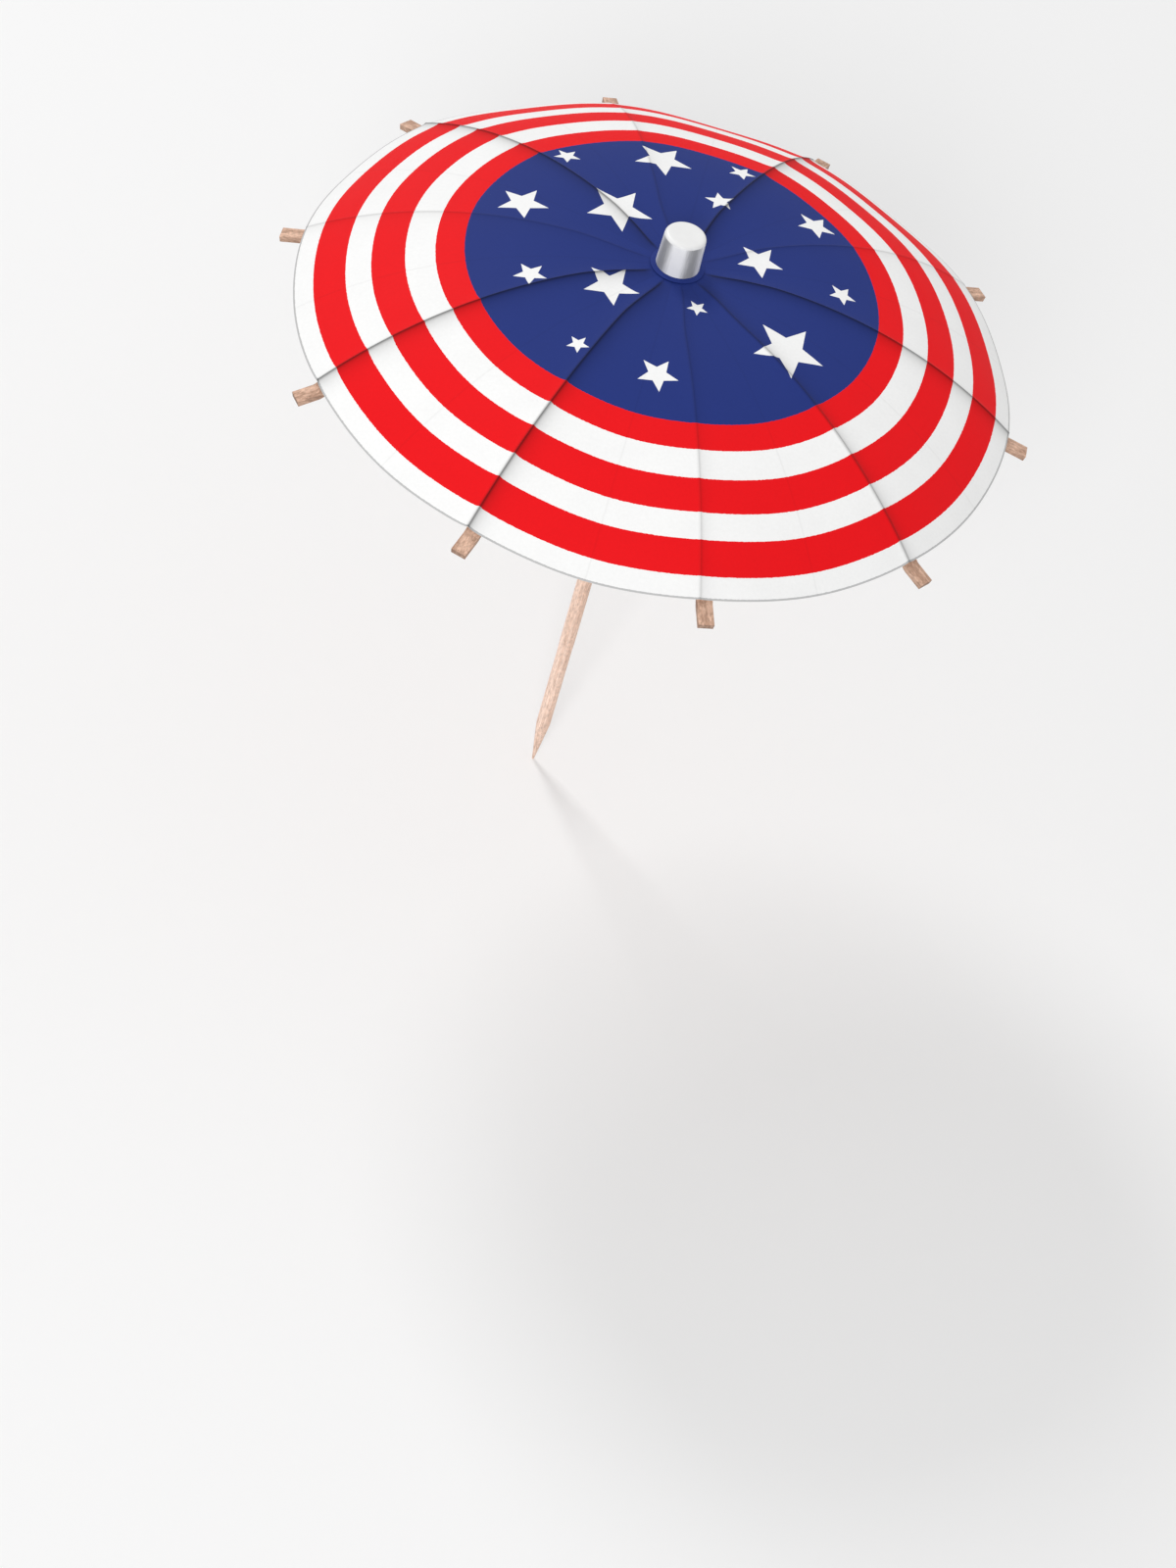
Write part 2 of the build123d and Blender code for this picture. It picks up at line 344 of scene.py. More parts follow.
# %% One star, as a group of nodes
STAR_WAIST = 0.44
FIFTH, TENTH = radians(72), radians(36)
star_mask = bpy.data.node_groups.new("star_mask", "ShaderNodeTree")
star_mask.interface.new_socket("Place", in_out="INPUT", socket_type="NodeSocketVector")
star_mask.interface.new_socket("Centre", in_out="INPUT", socket_type="NodeSocketVector")
star_mask.interface.new_socket("Tip", in_out="INPUT", socket_type="NodeSocketFloat")
star_mask.interface.new_socket("Turn", in_out="INPUT", socket_type="NodeSocketFloat")
star_mask.interface.new_socket("Mask", in_out="OUTPUT", socket_type="NodeSocketFloat")
given = star_mask.nodes.new("NodeGroupInput")
asked = star_mask.nodes.new("NodeGroupOutput")
point = grow(star_mask, "ShaderNodeVectorMath", given.outputs[0], given.outputs[1], operation="SUBTRACT")
parts = star_mask.nodes.new("ShaderNodeSeparateXYZ")
star_mask.links.new(point, parts.inputs[0])
reach = grow(star_mask, "ShaderNodeVectorMath", point, operation="LENGTH", result=1)
angle = sums(star_mask, "ARCTAN2", parts.outputs[1], parts.outputs[0])
angle = sums(star_mask, "SUBTRACT", angle, given.outputs[3])
angle = sums(star_mask, "FLOORED_MODULO", angle, FIFTH)
angle = sums(star_mask, "ABSOLUTE", sums(star_mask, "SUBTRACT", angle, TENTH))
along = sums(star_mask, "MULTIPLY", reach, sums(star_mask, "COSINE", angle))
aside = sums(star_mask, "MULTIPLY", reach, sums(star_mask, "SINE", angle))
waist = sums(star_mask, "MULTIPLY", given.outputs[2], STAR_WAIST)
near = sums(star_mask, "MULTIPLY", aside, cos(TENTH) - STAR_WAIST)
far = sums(star_mask, "MULTIPLY", sums(star_mask, "SUBTRACT", along, waist), sin(TENTH))
star_mask.links.new(sums(star_mask, "GREATER_THAN", near, far), asked.inputs[0])


# %% The print, as a group of nodes
EDGE_WANDER = 0.16
sheet_print = bpy.data.node_groups.new("sheet_print", "ShaderNodeTree")
sheet_print.interface.new_socket("Colour", in_out="OUTPUT", socket_type="NodeSocketColor")
sheet_print.interface.new_socket("Place", in_out="OUTPUT", socket_type="NodeSocketVector")
printed = sheet_print.nodes.new("NodeGroupOutput")
flat = grow(sheet_print, "ShaderNodeUVMap", uv_map="flat_sheet")
flat = grow(sheet_print, "ShaderNodeVectorMath", flat, (0.5, 0.5, 0), operation="SUBTRACT")
flat = scaled(sheet_print, flat, (SHEET_SPAN,) * 3)
rough_edge = noise(sheet_print, flat, 3.0, 3.0)
wander = sums(sheet_print, "MULTIPLY_ADD", rough_edge, EDGE_WANDER, -EDGE_WANDER / 2)
from_centre = grow(sheet_print, "ShaderNodeVectorMath", flat, operation="LENGTH", result=1)
from_centre = sums(sheet_print, "ADD", from_centre, wander)
inks = (*RINGS[0][1], 1)
for (ring_start, _), (_, ink) in zip(RINGS, RINGS[1:]):
    beyond = sums(sheet_print, "GREATER_THAN", from_centre, flat_reach(ring_start))
    inks = blend_colours(sheet_print, beyond, inks, (*ink, 1))
stars = None
for star_angle, star_distance, star_tip, star_turn in STARS:
    made = sheet_print.nodes.new("ShaderNodeGroup")
    made.node_tree = star_mask
    sheet_print.links.new(flat, made.inputs[0])
    away = flat_reach(star_distance)
    made.inputs[1].default_value = (away * cos(radians(star_angle)), away * sin(radians(star_angle)), 0)
    made.inputs[2].default_value = star_tip
    made.inputs[3].default_value = radians(star_turn)
    stars = made.outputs[0] if stars is None else sums(sheet_print, "MAXIMUM", stars, made.outputs[0])
sheet_print.links.new(blend_colours(sheet_print, stars, inks, (*WHITE, 1)), printed.inputs[0])
sheet_print.links.new(flat, printed.inputs[1])


# %% [markdown]
# Thin paper is never quite even. Ink lies a little thinner on some fibres than on others. Along the crease by
# each slat runs a fine dark line of painted shade, and beside it, over the slat, a soft grey band of painted
# shade. The fold between two ribs gets a faint line of painted shade. Three attributes on the mesh say where
# these are.

# %% Paper, printed side and back
def print_nodes(tree):
    made = tree.nodes.new("ShaderNodeGroup")
    made.node_tree = sheet_print
    return made.outputs[0], made.outputs[1]


def fold_shade(tree, width, depth):
    """1 away from the fold, and less by depth on it."""
    away = grow(tree, "ShaderNodeAttribute", attribute_name="from_fold", result=2)
    near = sums(tree, "POWER", sums(tree, "DIVIDE", away, width), 2.0)
    near = sums(tree, "EXPONENT", sums(tree, "MULTIPLY", near, -1.0))
    return sums(tree, "SUBTRACT", 1.0, sums(tree, "MULTIPLY", near, depth))


def darker(tree, attribute, depth):
    """1 where the attribute is 0, and less by depth where it is 1."""
    amount = grow(tree, "ShaderNodeAttribute", attribute_name=attribute, result=2)
    return sums(tree, "SUBTRACT", 1.0, sums(tree, "MULTIPLY", amount, depth))


def paper_fibres(tree, place):
    return noise(tree, place, 2.2, 4.0, 0.62), noise(tree, place, 0.22, 3.0)


CREASE_LINE_SHADE_DEPTH, CREASE_BAND_SHADE_DEPTH, FOLD_WIDTH, FOLD_DEPTH = 0.62, 0.42, 0.12, 0.06
printed_paper, tree, shader = start_finish("printed_paper", 0.7, 0.18)
colour, place = print_nodes(tree)
fine, cloud = paper_fibres(tree, place)
shade = sums(tree, "MULTIPLY_ADD", fine, 0.10, 0.945)
shade = sums(tree, "MULTIPLY", shade, sums(tree, "MULTIPLY_ADD", cloud, 0.06, 0.97))
# painted shade: a dark line along each crease, a soft grey band beside it over the slat, and a faint line at
# the fold
shade = sums(tree, "MULTIPLY", shade, darker(tree, "crease_shade_line", CREASE_LINE_SHADE_DEPTH))
shade = sums(tree, "MULTIPLY", shade, darker(tree, "crease_shade_band", CREASE_BAND_SHADE_DEPTH))
shade = sums(tree, "MULTIPLY", shade, fold_shade(tree, FOLD_WIDTH, FOLD_DEPTH))
tree.links.new(shaded(tree, colour, shade), shader.inputs["Base Color"])
relief(tree, shader, fine, 0.02, 0.35)

BARE_PAPER, SHOW_THROUGH = (0.86, 0.85, 0.82, 1), 0.2
BACK_FOLD_WIDTH, BACK_FOLD_DEPTH = 0.15, 0.2
paper_back, tree, shader = start_finish("paper_back", 0.8, 0.15)
colour, place = print_nodes(tree)
fine, _ = paper_fibres(tree, place)
shade = sums(tree, "MULTIPLY_ADD", fine, 0.14, 0.92)
# painted shade: the fold between two ribs is darker on the back too
shade = sums(tree, "MULTIPLY", shade, fold_shade(tree, BACK_FOLD_WIDTH, BACK_FOLD_DEPTH))
bare = blend_colours(tree, SHOW_THROUGH, BARE_PAPER, colour)
tree.links.new(shaded(tree, bare, shade), shader.inputs["Base Color"])
relief(tree, shader, fine, 0.02, 0.4)

# %% [markdown]
# ### Wood
# The slats are split from pale wood with a pinkish cast. Grain is a noise pulled out along the slat, pores
# are a finer noise cut off at a threshold, and flecks break the grain into short pieces. Each rib and its
# stretcher have a finish of their own, turned so that its x axis runs along the slat. Sawn ends are darker,
# partly as end grain and partly as painted shade, and sawn sides carry painted shade; an attribute says
# which faces those are.

# %% Slat and stick wood
# how much darker the sawn ends and sides are: end grain and painted shade
SAWN_GRAIN_AND_SHADE_DEPTH = 0.45


def wood(name, turn, grain, pore, fleck, light, dark, shift):
    """Grain, pore and fleck are how fast each pattern changes along the three axes."""
    finish, tree, shader = start_finish(name, 0.7, 0.3)
    stretched = millimetres(tree, turn, grain)
    apart = (shift, shift * 1.7, shift * 0.6)
    moved = grow(tree, "ShaderNodeVectorMath", stretched, apart, operation="ADD")
    streak = noise(tree, moved, 1.0, 4.0, 0.6)
    blotch = noise(tree, moved, 0.3, 2.0)
    pores = noise(tree, scaled(tree, moved, pore), 2.4, 2.0, 0.5)
    flecks = noise(tree, scaled(tree, moved, fleck), 1.0, 2.0, 0.5)
    tone = sums(tree, "MULTIPLY_ADD", blotch, 0.45, sums(tree, "MULTIPLY", streak, 0.55))
    middle = tuple((a + b) / 2 for a, b in zip(light, dark))
    colour = steps(tree, tone, ((0.4, dark), (0.5, middle), (0.58, light)))
    pit = steps(tree, pores, ((0.3, (0.55, 0.5, 0.47)), (0.42, (1, 1, 1))))
    colour = blend_colours(tree, 1.0, colour, pit, "MULTIPLY")
    uneven = sums(tree, "MULTIPLY_ADD", flecks, 0.95, 0.53)
    # darker sawn ends, as end grain and painted shade, and sides, as painted shade
    uneven = sums(tree, "MULTIPLY", uneven, darker(tree, "sawn_grain_and_shade", SAWN_GRAIN_AND_SHADE_DEPTH))
    tree.links.new(shaded(tree, colour, uneven), shader.inputs["Base Color"])
    height = sums(tree, "MULTIPLY_ADD", streak, 0.6, sums(tree, "MULTIPLY", pores, 0.4))
    relief(tree, shader, height, 0.06, 0.6)
    return finish


SLAT_LIGHT, SLAT_DARK = (0.76, 0.50, 0.37), (0.44, 0.26, 0.18)
STICK_LIGHT, STICK_DARK = (0.93, 0.70, 0.58), (0.72, 0.50, 0.39)
SLAT_GRAIN, SLAT_PORE, SLAT_FLECK = (0.32, 2.4, 2.4), (1, 2, 2), (5.2, 1.4, 1.4)
STICK_GRAIN, STICK_PORE, STICK_FLECK = (2.6, 2.6, 0.1), (2, 2, 1), (1.3, 1.3, 14.0)
slat_wood = [wood(f"slat_wood_{n + 1}", n * PITCH, SLAT_GRAIN, SLAT_PORE, SLAT_FLECK, SLAT_LIGHT, SLAT_DARK,
                  7.3 * n) for n in range(RIBS)]
stick_wood = wood("stick_wood", 0.0, STICK_GRAIN, STICK_PORE, STICK_FLECK, STICK_LIGHT, STICK_DARK, 3.1)

# %% [markdown]
# ### Plastic, thread and rolled paper
# Moulded plastic is smooth but not perfect: a slow noise changes its gloss a little, and a very fine one
# keeps highlights soft. The cap's colour carries painted light: four bright bands run up its side, one of
# them turned towards the camera, with painted grey shade on the flanks between them, and a little painted
# shade on its top. Thread shows its twist as slanted bands.

# %% Plastic, thread and rolled paper
def moulded(name, colour, roughness):
    finish, tree, shader = start_finish(name, roughness)
    place = millimetres(tree)
    slow = noise(tree, place, 0.8, 3.0)
    fine = noise(tree, place, 9.0, 2.0)
    shade = sums(tree, "MULTIPLY_ADD", slow, 0.08, 0.95)
    tree.links.new(shaded(tree, (*colour, 1), shade), shader.inputs["Base Color"])
    tree.links.new(sums(tree, "MULTIPLY_ADD", slow, 0.16, roughness - 0.08), shader.inputs["Roughness"])
    relief(tree, shader, fine, 0.01, 0.25)
    return finish


# painted light: four bright bands up the cap's side, the first turned towards the camera, with painted shade
# between
CAP_LIGHT_BANDS, CAP_LIT_BAND_TURN, CAP_FLANK_TOP = 4, radians(-96), 77.9
CAP_PAINTED_SHADE, FLANK_SHADE_SHARE, TOP_SHADE_SHARE = (0.16, 0.16, 0.16, 1), 0.74, 0.15
cap_plastic = moulded("cap_plastic", (0.97, 0.97, 0.965), 0.34)
tree = cap_plastic.node_tree
base = tree.nodes["Principled BSDF"].inputs["Base Color"]
plain = base.links[0].from_socket
place = millimetres(tree)
parts = tree.nodes.new("ShaderNodeSeparateXYZ")
tree.links.new(place, parts.inputs[0])
turned_by = sums(tree, "ARCTAN2", parts.outputs[1], parts.outputs[0])
round_axis = sums(tree, "MULTIPLY", sums(tree, "SUBTRACT", turned_by, CAP_LIT_BAND_TURN), CAP_LIGHT_BANDS)
band = sums(tree, "MULTIPLY_ADD", sums(tree, "COSINE", round_axis), 0.5, 0.5)
# a streaky noise that breaks up the edges of the painted light bands
drawn = noise(tree, scaled(tree, place, (1, 1, 0.08)), 5.0, 3.0)
band = sums(tree, "ADD", band, sums(tree, "MULTIPLY_ADD", drawn, 0.5, -0.25))
# the flanks below the shoulder get painted grey shade, and the top a little painted shade
flank = sums(tree, "LESS_THAN", parts.outputs[2], CAP_FLANK_TOP)
painted_flank_shade = steps(tree, band, ((0.05, (FLANK_SHADE_SHARE,) * 3), (0.75, (0.0, 0.0, 0.0))))
painted_top_shade = sums(tree, "MULTIPLY", sums(tree, "SUBTRACT", 1.0, flank), TOP_SHADE_SHARE)
share = sums(tree, "ADD", sums(tree, "MULTIPLY", flank, painted_flank_shade), painted_top_shade)
tree.links.new(blend_colours(tree, share, plain, CAP_PAINTED_SHADE), base)
collar_plastic = moulded("collar_plastic", (0.78, 0.76, 0.70), 0.45)
ring_plastic = moulded("ring_plastic", (0.80, 0.82, 0.83), 0.25)

cotton_thread, tree, shader = start_finish("cotton_thread", 0.85, 0.2)
place = millimetres(tree)
twist = grow(tree, "ShaderNodeTexWave", place, 2.6, 1.5, 2.0, 2.0, bands_direction="DIAGONAL", result=1)
strands = steps(tree, twist, ((0.1, (0.58, 0.55, 0.49)), (0.6, (0.86, 0.84, 0.79))))
tree.links.new(strands, shader.inputs["Base Color"])
relief(tree, shader, twist, 0.05, 0.7)

rolled_paper, tree, shader = start_finish("rolled_paper", 0.8, 0.2)
place = millimetres(tree)
wrap = grow(tree, "ShaderNodeTexWave", scaled(tree, place, (0.25, 0.25, 1.0)), 1.1, 0.8, 2.0, 1.0,
            bands_direction="DIAGONAL", result=1)
layers = steps(tree, wrap, ((0.0, (0.66, 0.62, 0.54)), (0.12, (0.82, 0.79, 0.72))))
tree.links.new(layers, shader.inputs["Base Color"])
relief(tree, shader, wrap, 0.05, 0.5)
print("finishes:", len(bpy.data.materials))

# %% [markdown]
# ## The paper canopy
# On the real parasol one sheet is glued over ten slats. It is creased along one edge of each slat, harder
# over some than over others, lies on the slat, and sinks a little between two slats. One gore, the paper that
# belongs to one rib, starts as a flat grid. Closing the parasol pleats the paper, so the grid is cut across
# into six bands.

# %% One gore and its bands
GORE_ROWS, GORE_COLUMNS = 60, 44
BAND_ROWS = (0, 12, 21, 31, 42, 52, 60)
GORE_START = 3.3


def cut_band(first, last):
    """A copy of the flat grid with only the rows of this band."""
    band = gore.copy()
    band.data = gore.data.copy()
    bpy.context.scene.collection.objects.link(band)
    pick_up(band)
    for item in (*band.data.vertices, *band.data.edges):
        item.select = False
    for face in band.data.polygons:
        face.select = not first < (face.center.x + 1) / 2 * GORE_ROWS < last
    bpy.ops.object.mode_set(mode="EDIT")
    bpy.ops.mesh.select_mode(type="FACE")
    bpy.ops.mesh.delete(type="FACE")
    bpy.ops.object.mode_set(mode="OBJECT")
    return band


bpy.ops.object.select_all(action="DESELECT")
bpy.ops.mesh.primitive_grid_add(x_subdivisions=GORE_ROWS, y_subdivisions=GORE_COLUMNS, size=2)
gore = added("gore")
bands = [cut_band(first, last) for first, last in zip(BAND_ROWS, BAND_ROWS[1:])]
print("gore:", len(gore.data.polygons), "faces in", len(bands), "bands")

# %% [markdown]
# The points of the grid move to their place on the dome. Sideways, the middle column becomes the crease, and
# the columns crowd towards it, so that the crease is sharp.

# %% The shape of the paper
PAPER_THICKNESS = 0.12
SLAT_HALF_WIDTH = 1.0
CREASE_ASIDE = 0.75
RIDGE_LIFT, RIDGE_WIDTH = 0.3, 1.0
PINCH_LIFT, PINCH_WIDTH = 0.13, 0.2
FOLD_SAG = 0.55
RIM_PULL = 0.15
SHADE_WIDTH = 1.0
LINE_WIDTH = 0.2
# for each rib: the side of the slat that the crease is on, which also puts the painted shade band on the slat
# beside it, and how hard the paper was creased there, which also sets how dark the painted crease shade is
CREASES = ((1, 1.0), (1, 0.3), (1, 1.0), (1, 0.3), (-1, 1.0),
           (-1, 0.3), (-1, 1.0), (-1, 1.0), (-1, 0.3), (-1, 0.7))


def dome_level(radius):
    run = max(radius - FLAT_RADIUS, 0.0)
    return BEND_LEVEL + sqrt(PAPER_BEND**2 - run**2)


def smooth_step(value, low, high):
    share = min(max((value - low) / (high - low), 0.0), 1.0)
    return share * share * (3 - 2 * share)


def gore_point(row_share, column_share, number):
    """Place of a grid point on the paper of one rib, and what its finish has to know, in mm."""
    side, hard = CREASES[number - 1]
    radius = GORE_START + (CANOPY_RADIUS - GORE_START) * row_share
    crease = side * asin(CREASE_ASIDE * smooth_step(radius, 4.0, 14.0) / radius)
    spread = PITCH / 2 - crease if column_share > 0 else PITCH / 2 + crease
    angle = crease + spread * column_share * abs(column_share)
    from_crease = radius * (angle - crease)
    over_slat = max(-side * from_crease, 0.0)
    to_fold = radius * (PITCH / 2 - abs(angle))
    relief_share = hard * smooth_step(radius, 3.6, 9.0) * (1 - smooth_step(abs(column_share), 0.5, 1.0))
    drawn = hard * smooth_step(radius, 3.3, 5.0)
    ridge = RIDGE_LIFT * exp(-abs(from_crease) / RIDGE_WIDTH)
    ridge += PINCH_LIFT * exp(-abs(from_crease) / PINCH_WIDTH)
    beside = max(radius * sin(abs(angle)) - SLAT_HALF_WIDTH, 0.0)
    free = smooth_step(beside / max(radius * sin(PITCH / 2) - SLAT_HALF_WIDTH, 0.1), 0.0, 1.0)
    sag = FOLD_SAG * (radius / CANOPY_RADIUS) ** 2 * free
    rim = RIM_PULL * smooth_step(radius, 40, CANOPY_RADIUS) * free
    level = dome_level(radius) + relief_share * ridge - sag
    place = Vector(((radius - rim) * cos(angle), (radius - rim) * sin(angle), level))
    # painted shade: a soft grey band beside the crease over the slat, and a dark line on the crease, fading
    # towards the hub
    crease_shade_band = drawn * exp(-over_slat / SHADE_WIDTH) if column_share * side <= 0 else 0.0
    line = drawn * exp(-((from_crease / LINE_WIDTH) ** 2))
    return place, flat_reach(radius), {"crease_shade_band": crease_shade_band, "crease_shade_line": line, "from_fold": to_fold}



def lay_band(band, number, index):
    """Copy one band to its rib, bend and print it, give it thickness, and let it ride."""
    turn = (number - 1) * PITCH
    piece = band.copy()
    piece.data = band.data.copy()
    bpy.context.scene.collection.objects.link(piece)
    piece.name = piece.data.name = f"paper_{number}_{index + 1}"
    mesh = piece.data
    facts = [gore_point((vertex.co.x + 1) / 2, vertex.co.y, number) for vertex in mesh.vertices]
    for name in facts[0][2]:
        values = [fact[2][name] for fact in facts]
        mesh.attributes.new(name, "FLOAT", "POINT").data.foreach_set("value", values)
    for vertex, fact in zip(mesh.vertices, facts):
        vertex.co = fact[0] * MM
    mesh.transform(Matrix.Rotation(turn, 4, "Z"))
    layer = mesh.uv_layers.active
    layer.name = "flat_sheet"
    for loop in mesh.loops:
        spot = mesh.vertices[loop.vertex_index].co
        angle = atan2(spot.y, spot.x)
        far = facts[loop.vertex_index][1] / SHEET_SPAN
        layer.data[loop.index].uv = (0.5 + far * cos(angle), 0.5 + far * sin(angle))
    wear(piece, printed_paper, paper_back)
    shell = piece.modifiers.new("thickness", "SOLIDIFY")
    shell.thickness = PAPER_THICKNESS * MM
    shell.offset = -1
    shell.material_offset = 1
    shell.material_offset_rim = 1
    apply_modifiers(piece)
    bpy.ops.object.shade_smooth_by_angle(angle=radians(50))
    join_body(piece, f"rib_{number}", "printed_paper", f"canopy_panel_{number}")
    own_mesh(piece)
    return piece


paper = [lay_band(band, number, index) for number in range(1, RIBS + 1) for index, band in enumerate(bands)]
for spare in (*bands, gore):
    bpy.data.objects.remove(spare)
print("paper pieces:", len(paper))

# %% [markdown]
# ## Crown and cap
# The centre of the sheet is glued between hub and cap. A ring of it shows round the foot of the cap. The cap
# is a moulded thimble: a cylinder that narrows a little, with a rounded shoulder and a shallow hollow on top.

# %% Crown
CROWN_RADIUS, CROWN_HOLE, CROWN_LEVEL, CROWN_THICKNESS = 3.6, 1.13, 73.29, 0.12
CROWN_DIP, CROWN_RIM = 0.13, 0.5
bpy.ops.object.select_all(action="DESELECT")
bpy.ops.mesh.primitive_circle_add(vertices=80, radius=CROWN_RADIUS * MM, fill_type="NGON",
                                  location=(0, 0, CROWN_LEVEL * MM))
crown = added("paper_crown")
settle(crown)
bpy.ops.object.mode_set(mode="EDIT")
bpy.ops.mesh.select_all(action="SELECT")
bpy.ops.mesh.inset(thickness=CROWN_RIM * MM)
bpy.ops.mesh.inset(thickness=(CROWN_RADIUS - CROWN_RIM - CROWN_HOLE) * MM)
bpy.ops.mesh.delete(type="FACE")
bpy.ops.object.mode_set(mode="OBJECT")
for vertex in crown.data.vertices:
    if hypot(vertex.co.x, vertex.co.y) > (CROWN_RADIUS - 0.1) * MM:
        vertex.co.z -= (CROWN_DIP + 0.012 * sin(5 * atan2(vertex.co.y, vertex.co.x))) * MM
shell = crown.modifiers.new("thickness", "SOLIDIFY")
shell.thickness = CROWN_THICKNESS * MM
shell.offset = -1
apply_modifiers(crown)
crown_uv = crown.data.uv_layers.active or crown.data.uv_layers.new()
crown_uv.name = "flat_sheet"
for loop in crown.data.loops:
    spot = crown.data.vertices[loop.vertex_index].co
    crown_uv.data[loop.index].uv = (0.5 + spot.x / MM / SHEET_SPAN, 0.5 + spot.y / MM / SHEET_SPAN)
for name, value in (("crease_shade_line", 0.0), ("crease_shade_band", 0.0), ("from_fold", 5.0)):
    values = [value] * len(crown.data.vertices)
    crown.data.attributes.new(name, "FLOAT", "POINT").data.foreach_set("value", values)
bpy.ops.object.shade_smooth_by_angle(angle=radians(30))
wear(crown, printed_paper)
join_body(crown, "pick", "printed_paper", "canopy_crown")

# %% Cap
CAP_FOOT, CAP_TOP, CAP_BOTTOM, CAP_HEIGHT, CAP_SHOULDER = 2.9, 2.75, 73.3, 5.0, 0.55
CAP_BORE, CAP_BORE_DEPTH = 1.13, 3.7
CAP_TOP_RIM, CAP_SLOPE, CAP_HOLLOW, CAP_FLOOR_RIM, CAP_FOOT_RIM = 0.5, 0.6, 0.06, 0.4, 0.12
bpy.ops.object.select_all(action="DESELECT")
bpy.ops.mesh.primitive_cylinder_add(vertices=96, radius=CAP_FOOT * MM, depth=CAP_HEIGHT * MM,
                                    location=(0, 0, (CAP_BOTTOM + CAP_HEIGHT / 2) * MM))
cap = added("cap_shell")
settle(cap)


def select_faces(piece, test):
    """Leave edit mode, select the faces that pass the test, and go back to edit mode."""
    bpy.ops.object.mode_set(mode="OBJECT")
    for item in (*piece.data.vertices, *piece.data.edges):
        item.select = False
    for face in piece.data.polygons:
        face.select = test(face)
    bpy.ops.object.mode_set(mode="EDIT")
    bpy.ops.mesh.select_mode(type="FACE")


bpy.ops.object.mode_set(mode="EDIT")
select_faces(cap, lambda face: face.normal.z > 0.9)
bpy.ops.transform.resize(value=(CAP_TOP / CAP_FOOT, CAP_TOP / CAP_FOOT, 1))
bpy.ops.mesh.bevel(offset=CAP_SHOULDER * MM, segments=7, profile=0.5, affect="EDGES")
select_faces(cap, lambda face: face.normal.z > 0.99 and face.area > MM**2)
bpy.ops.mesh.inset(thickness=CAP_TOP_RIM * MM)
bpy.ops.mesh.inset(thickness=CAP_SLOPE * MM)
bpy.ops.transform.translate(value=(0, 0, -CAP_HOLLOW * MM))
bpy.ops.mesh.inset(thickness=CAP_FLOOR_RIM * MM)
select_faces(cap, lambda face: face.normal.z < -0.9)
bpy.ops.mesh.inset(thickness=CAP_FOOT_RIM * MM)
bpy.ops.mesh.inset(thickness=(CAP_FOOT - CAP_FOOT_RIM - CAP_BORE) * MM)
bpy.ops.mesh.extrude_region_move(TRANSFORM_OT_translate={"value": (0, 0, CAP_BORE_DEPTH * MM)})
select_faces(cap, lambda face: abs(face.normal.z) < 0.3 and face.center.xy.length > 2.5 * MM
             and face.center.z < (CAP_BOTTOM + CAP_HEIGHT - CAP_SHOULDER) * MM)
bpy.ops.mesh.subdivide(number_cuts=3)
bpy.ops.object.mode_set(mode="OBJECT")
pick_up(cap)
bpy.ops.object.shade_smooth_by_angle(angle=radians(40))
wear(cap, cap_plastic)
join_body(cap, "pick", "white_plastic", "cap")
print("cap:", len(cap.data.polygons), "faces")

# %% [markdown]
# ## Stick
# The stick is one thin dowel, sharpened at its lower end. A circle is extruded upwards ring by ring. A real
# dowel this thin is never quite straight sided, so every ring is a hair narrower or wider than the next, and
# always inside the true size.

# %% Stick
# height and radius of each ring
STICK_RINGS = [(-24.0, 0.15), (-23.6, 0.19), (-20.0, 0.6), (-16.4, 1.0), (-15.8, 1.045), (-8.0, 1.045),
               (0.0, 1.05), (2.0, 1.1), (6.0, 1.1)]
STICK_RINGS += [(height, 1.1) for height in range(10, 77, 3)] + [(76.5, 1.09), (76.8, 1.0)]
bpy.ops.object.select_all(action="DESELECT")
bpy.ops.mesh.primitive_circle_add(vertices=32, radius=STICK_RINGS[0][1] * MM, fill_type="NGON",
                                  location=(0, 0, STICK_RINGS[0][0] * MM))
stick = added("wood_stick")
settle(stick)
bpy.ops.object.mode_set(mode="EDIT")
bpy.ops.mesh.select_all(action="SELECT")
for (low, narrow), (high, wide) in zip(STICK_RINGS, STICK_RINGS[1:]):
    bpy.ops.mesh.extrude_region_move(TRANSFORM_OT_translate={"value": (0, 0, (high - low) * MM)})
    bpy.ops.transform.resize(value=(wide / narrow, wide / narrow, 1))
bpy.ops.mesh.select_all(action="SELECT")
bpy.ops.mesh.normals_make_consistent(inside=False)
bpy.ops.object.mode_set(mode="OBJECT")
for vertex in stick.data.vertices:
    angle, height = atan2(vertex.co.y, vertex.co.x), vertex.co.z / MM
    slow_dent = 0.012 * (1 + sin(3 * angle + 0.11 * height)) / 2
    fine_dent = 0.008 * (1 + sin(7 * angle - 0.05 * height)) / 2
    thinner = 1 - slow_dent - fine_dent
    vertex.co.x *= thinner
    vertex.co.y *= thinner
bpy.ops.object.shade_smooth_by_angle(angle=radians(30))
wear(stick, stick_wood)
join_body(stick, "pick", "pick_wood", "stick")
print("stick:", len(stick.data.polygons), "faces")

# %% [markdown]
# ## The frame under the paper
# Ribs, stretchers, hub and runner already have their shape, but with knife edges. A copy of each is merged
# into one skin, and a narrow bevel rounds every edge, as cutting, moulding and handling do. Threads, sleeve
# and ring only need their finish.

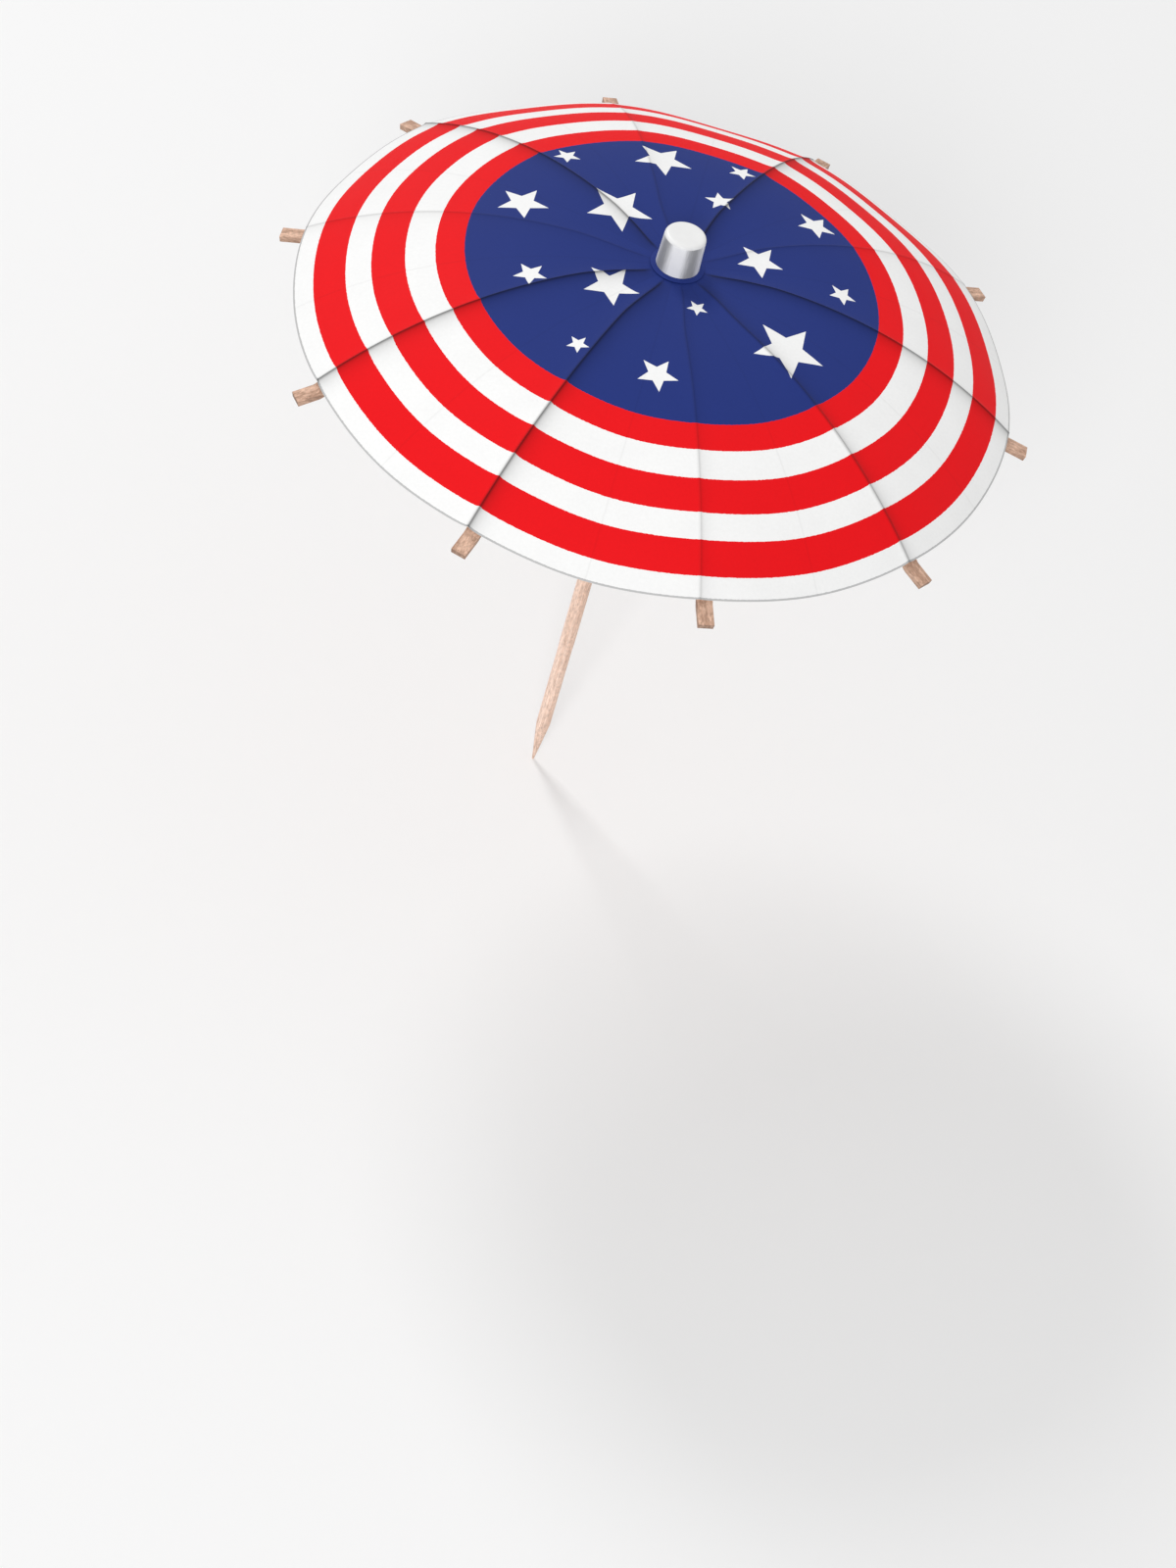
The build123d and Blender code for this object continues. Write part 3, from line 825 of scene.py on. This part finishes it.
# %% Softened copies
def soften(name, body, slot, finish, width):
    """Copy a plain solid, merge it, round its edges, and let the copy stand for it."""
    piece = bpy.data.objects.new(f"soft_{name}", nodes[name].data.copy())
    bpy.context.scene.collection.objects.link(piece)
    pick_up(piece)
    bpy.ops.object.mode_set(mode="EDIT")
    bpy.ops.mesh.select_all(action="SELECT")
    bpy.ops.mesh.remove_doubles(threshold=0.002 * MM)
    bpy.ops.mesh.dissolve_limited(angle_limit=radians(0.5))
    bpy.ops.object.mode_set(mode="OBJECT")
    bevel = piece.modifiers.new("soft_edge", "BEVEL")
    bevel.width = width * MM
    bevel.segments = 2
    bevel.limit_method = "ANGLE"
    bevel.angle_limit = radians(40)
    apply_modifiers(piece)
    bpy.ops.object.shade_smooth_by_angle(angle=radians(35))
    wear(piece, finish)
    join_body(piece, body, slot, name)
    return piece


# how dark sawn ends (end grain and painted shade) and sides (painted shade) are, and how squarely a face must
# point to count
END_GRAIN_AND_SHADE, SIDE_PAINTED_SHADE, FACES_THAT_WAY = 1.0, 0.6, 0.75
SLAT_EDGE, COLLAR_EDGE = 0.08, 0.07


def mark_grain_and_shade(piece, turn):
    """Say which faces of a slat are its sawn ends, darker as end grain and painted shade, and its sides,
    darker as painted shade.
    """
    along, across = Vector((cos(turn), sin(turn), 0)), Vector((-sin(turn), cos(turn), 0))
    sawn_grain_and_shade = []
    for face in piece.data.polygons:
        end = END_GRAIN_AND_SHADE if abs(face.normal.dot(along)) > FACES_THAT_WAY else 0.0
        side = SIDE_PAINTED_SHADE if abs(face.normal.dot(across)) > FACES_THAT_WAY else 0.0
        sawn_grain_and_shade.append(max(end, side))
    piece.data.attributes.new("sawn_grain_and_shade", "FLOAT", "FACE").data.foreach_set("value", sawn_grain_and_shade)


for number in range(1, RIBS + 1):
    slats = slat_wood[number - 1]
    for name in (f"rib_{number}", f"stretcher_{number}"):
        mark_grain_and_shade(soften(name, name, "rib_wood", slats, SLAT_EDGE), (number - 1) * PITCH)
soft_hub = soften("hub", "pick", "collar_plastic", collar_plastic, COLLAR_EDGE)
soft_runner = soften("runner", "runner", "collar_plastic", collar_plastic, COLLAR_EDGE)
print("hub:", len(soft_hub.data.polygons), "faces, runner:", len(soft_runner.data.polygons), "faces")

# %% Finishes for the rest
for number in range(1, RIBS + 1):
    wear(nodes[f"tie_{number}"], cotton_thread)
wear(nodes["hub_thread"], cotton_thread)
wear(nodes["runner_thread"], cotton_thread)
wear(nodes["spacer_sleeve"], rolled_paper)
wear(nodes["retaining_ring"], ring_plastic)
print("frame finished")
